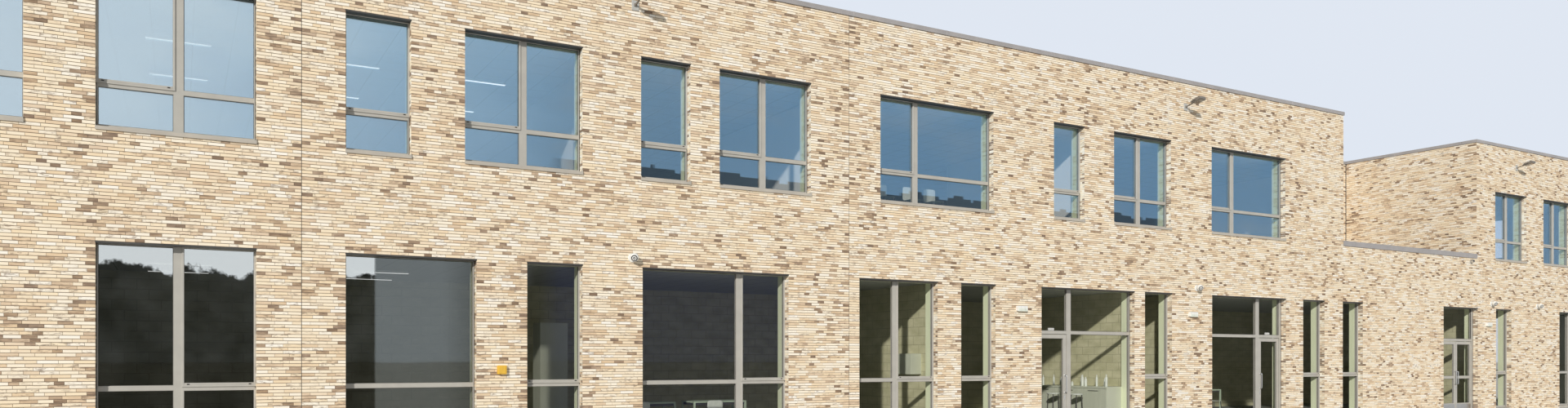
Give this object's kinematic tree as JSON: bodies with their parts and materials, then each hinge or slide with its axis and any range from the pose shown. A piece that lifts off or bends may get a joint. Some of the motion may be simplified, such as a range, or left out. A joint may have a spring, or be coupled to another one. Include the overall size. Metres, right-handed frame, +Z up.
{
  "type": "brick school building, scale model at half size",
  "caption": "Long flat-roofed brick school building at half size, hollow, with tall windows, an upper storey set back over a low roof, and glazed entrance doors that open outwards",
  "frame": {"origin": "on the ground, under the middle of the building's box", "axes": "+Z up; the long entrance front faces -Y; +X runs along it to the right as seen from outside"},
  "size_m": [25.03, 7.7842, 4.4],
  "materials": {
    "brick": "matte",
    "concrete": "matte",
    "roofing": "matte",
    "grey_metal": "satin",
    "window_frame": "satin",
    "glass": "gloss",
    "brushed_steel": "brushed",
    "lamp_grey": "satin",
    "white_plastic": "matte",
    "yellow_plastic": "matte",
    "lamp_white": "matte",
    "ceiling_board": "matte",
    "inner_wall": "matte",
    "cabinet": "satin",
    "furniture": "satin",
    "lining": "satin"
  },
  "bodies": {
    "building": {"alarm_box": "yellow_plastic", "back_ground_piers": "brick", "back_parapet": "brick", "back_spandrel": "brick", "back_upper_piers": "brick", "cameras": "white_plastic", "ceiling_lights": "lamp_white", "door_pivots": "brushed_steel", "east_roof_slab": "concrete", "emergency_lights": "white_plastic", "end_ground_piers": "brick", "end_parapets": "brick", "end_spandrels": "brick", "end_upper_piers": "brick", "entrance_glass": "glass", "entrance_posts": "window_frame", "entrance_rails": "window_frame", "floodlights": "lamp_grey", "front_ground_piers": "brick", "front_parapets": "brick", "front_spandrel": "brick", "front_upper_piers": "brick", "ground_ceiling": "ceiling_board", "ground_floor_slab": "concrete", "ground_sills": "grey_metal", "ground_window_frames": "window_frame", "ground_window_glass": "glass", "kitchen_units": "cabinet", "link_roof_slab": "concrete", "low_coping": "grey_metal", "low_roof_deck": "roofing", "overflow_spout": "brushed_steel", "parapet_coping": "grey_metal", "partitions": "inner_wall", "seats": "furniture", "set_back_east_wall": "brick", "set_back_rear_wall": "brick", "set_back_west_wall": "brick", "tables": "furniture", "thresholds": "grey_metal", "upper_ceiling": "ceiling_board", "upper_floor_slab": "concrete", "upper_sills": "grey_metal", "upper_window_frames": "window_frame", "upper_window_glass": "glass", "west_roof_slab": "concrete", "window_linings": "lining", "window_lintels": "grey_metal"},
    "west_door": {"west_door_glass": "glass", "west_door_leaf": "window_frame", "west_door_pull": "brushed_steel"},
    "middle_door": {"middle_door_glass": "glass", "middle_door_leaf": "window_frame", "middle_door_pull": "brushed_steel"},
    "east_left_door": {"east_left_door_glass": "glass", "east_left_door_leaf": "window_frame", "east_left_door_pull": "brushed_steel"},
    "east_right_door": {"east_right_door_glass": "glass", "east_right_door_leaf": "window_frame", "east_right_door_pull": "brushed_steel"}
  },
  "joints": [
    {"name": "west_door_hinge", "type": "hinge", "parent": "building", "child": "west_door", "pos_m": [-1.369, -3.655, 0.6], "axis": [0, 0, -1], "range_deg": [0, 90]},
    {"name": "middle_door_hinge", "type": "hinge", "parent": "building", "child": "middle_door", "pos_m": [3.064, -3.655, 0.6], "axis": [0, 0, 1], "range_deg": [0, 90]},
    {"name": "east_left_door_hinge", "type": "hinge", "parent": "building", "child": "east_left_door", "pos_m": [7.151, -3.655, 0.6], "axis": [0, 0, -1], "range_deg": [0, 90]},
    {"name": "east_right_door_hinge", "type": "hinge", "parent": "building", "child": "east_right_door", "pos_m": [8.064, -3.655, 0.6], "axis": [0, 0, 1], "range_deg": [0, 90]}
  ]
}
